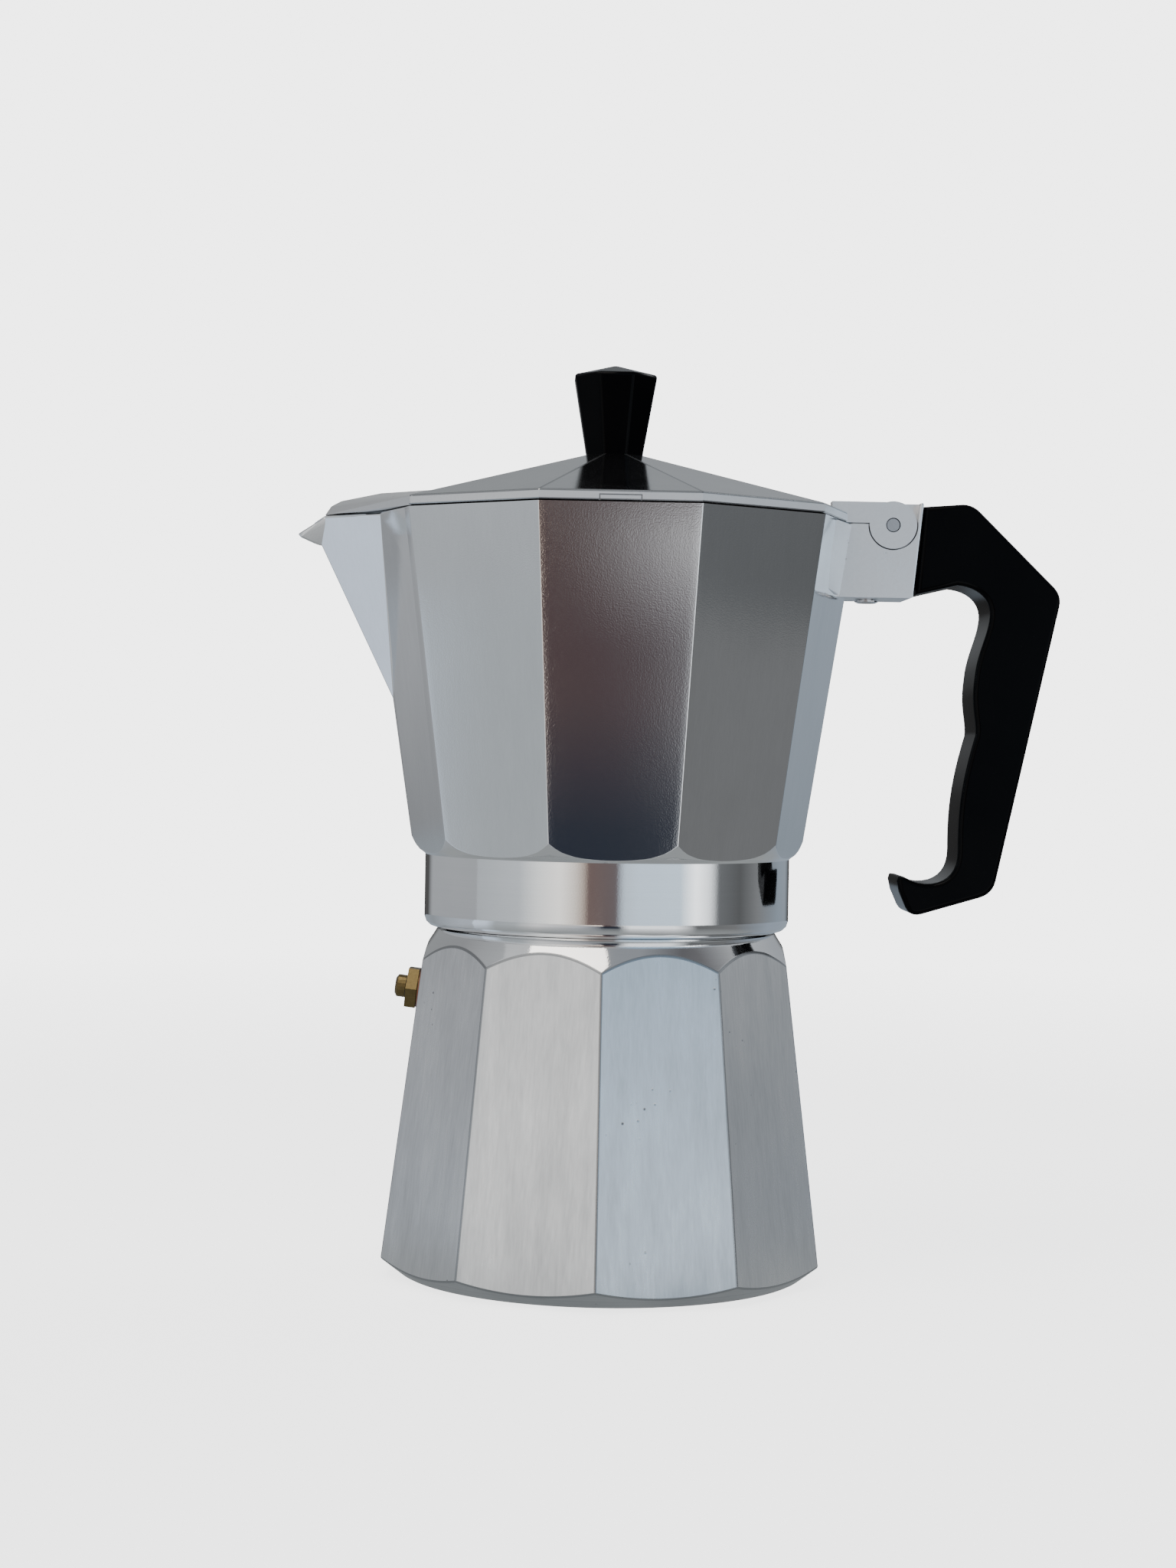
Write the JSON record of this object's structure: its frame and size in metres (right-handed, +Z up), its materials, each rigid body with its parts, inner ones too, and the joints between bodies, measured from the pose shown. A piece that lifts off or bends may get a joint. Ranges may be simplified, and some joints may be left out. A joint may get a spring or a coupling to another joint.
{
  "type": "moka pot",
  "caption": "Ten-sided aluminium stovetop coffee pot with screwed boiler and chamber, pouring spout, hinged lid with knob, side safety valve and moulded handle.",
  "frame": {"origin": "on the pot's axis at the flat underside of the boiler", "axes": "+Z up along the pot's axis, +X from the axis to the handle, -X to the spout, -Y to the side with the plain front facet"},
  "size_m": [0.1679, 0.103, 0.2],
  "materials": {
    "cast_aluminium": "brushed facets and turned bands",
    "sheet_aluminium": "plain spun and pressed sheet",
    "valve_brass": "dull turned brass",
    "bright_steel": "bright",
    "washer_fibre": "matte fibre",
    "seal_silicone": "matte",
    "black_plastic": "glossy moulded"
  },
  "bodies": {
    "boiler": {"boiler": "cast_aluminium", "valve_body": "valve_brass", "valve_washer": "washer_fibre", "valve_seat": "valve_brass", "valve_nut": "valve_brass", "funnel": "sheet_aluminium", "funnel_sieve": "sheet_aluminium"},
    "valve_plunger": {"valve_stem": "valve_brass", "valve_spring": "bright_steel"},
    "seal": {"gasket": "seal_silicone", "filter_plate": "sheet_aluminium"},
    "chamber": {"collecting_chamber": "cast_aluminium", "hinge_pin": "bright_steel", "handle": "black_plastic", "handle_insert": "valve_brass", "handle_screw": "bright_steel"},
    "lid": {"lid": "cast_aluminium", "lid_knob": "black_plastic", "knob_insert": "valve_brass", "knob_screw": "bright_steel"}
  },
  "joints": [
    {"name": "chamber_lift", "type": "slide", "parent": "boiler", "child": "seal", "axis": [0, 0, 1], "range_m": [0, 0.0081]},
    {"name": "chamber_turn", "type": "hinge", "parent": "seal", "child": "chamber", "pos_m": [0, 0, 0.088], "axis": [0, 0, 1], "range_deg": [0, 720]},
    {"name": "lid_hinge", "type": "hinge", "parent": "chamber", "child": "lid", "pos_m": [0.0611, 0, 0.1654], "axis": [0, 1, 0], "range_deg": [0, 95]},
    {"name": "valve_slide", "type": "slide", "parent": "boiler", "child": "valve_plunger", "axis": [-0.9916, 0.0468, 0.1205], "range_m": [0, 0.0012], "stiffness_N_per_m": 400}
  ],
  "couplings": [
    {"joint": "chamber_lift", "follows": "chamber_turn", "m_per_rad": 0.00063662}
  ]
}
